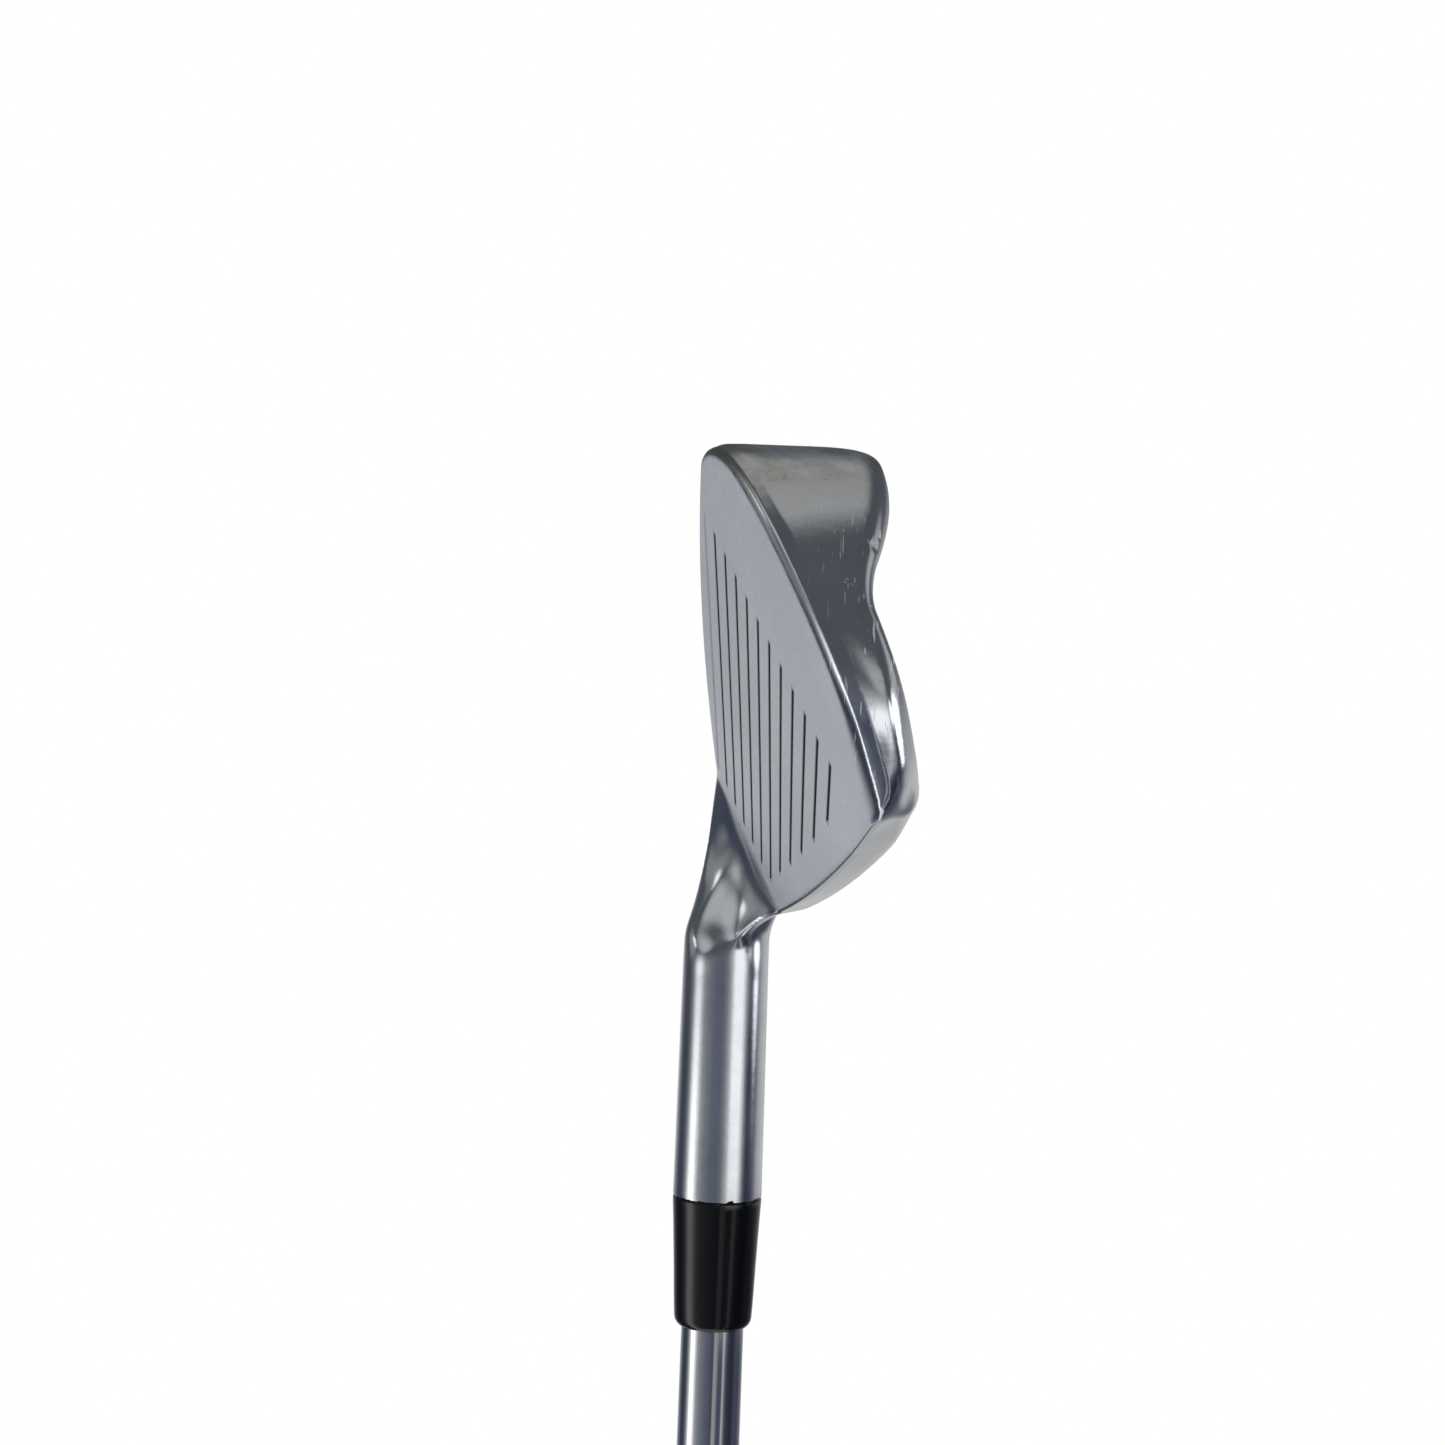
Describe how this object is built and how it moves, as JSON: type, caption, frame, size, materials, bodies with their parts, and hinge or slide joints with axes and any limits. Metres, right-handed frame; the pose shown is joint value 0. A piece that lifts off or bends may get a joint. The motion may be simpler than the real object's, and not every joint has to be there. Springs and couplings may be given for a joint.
{
  "type": "iron golf club",
  "caption": "Right-handed long iron: cavity-back steel head with score lines and hosel, black ferrule, stepped steel shaft and rubber grip.",
  "frame": {"origin": "centre of the grip's butt face, on the shaft's axis", "axes": "+Z along the shaft from the butt to the head, as the club stands in a bag; +Y square to the shaft toward the toe; +X toward the target, the way the face looks"},
  "size_m": [0.0375, 0.1003, 1.0078],
  "materials": {
    "head": "worn satin chrome",
    "ferrule": "polished",
    "shaft": "bright chrome plate",
    "epoxy": "cured adhesive",
    "brass": "turned",
    "label": "foil sticker",
    "tape": "double-sided paper tape",
    "rubber": "moulded with a fine pattern",
    "cap": "smooth hard rubber"
  },
  "bodies": {
    "root": {"club_head": "head", "ferrule": "ferrule", "hosel_epoxy": "epoxy", "tip_weight": "brass", "shaft": "shaft", "shaft_label": "label", "grip_tape": "tape", "grip_sleeve": "rubber", "grip_cap": "cap"}
  },
  "joints": []
}
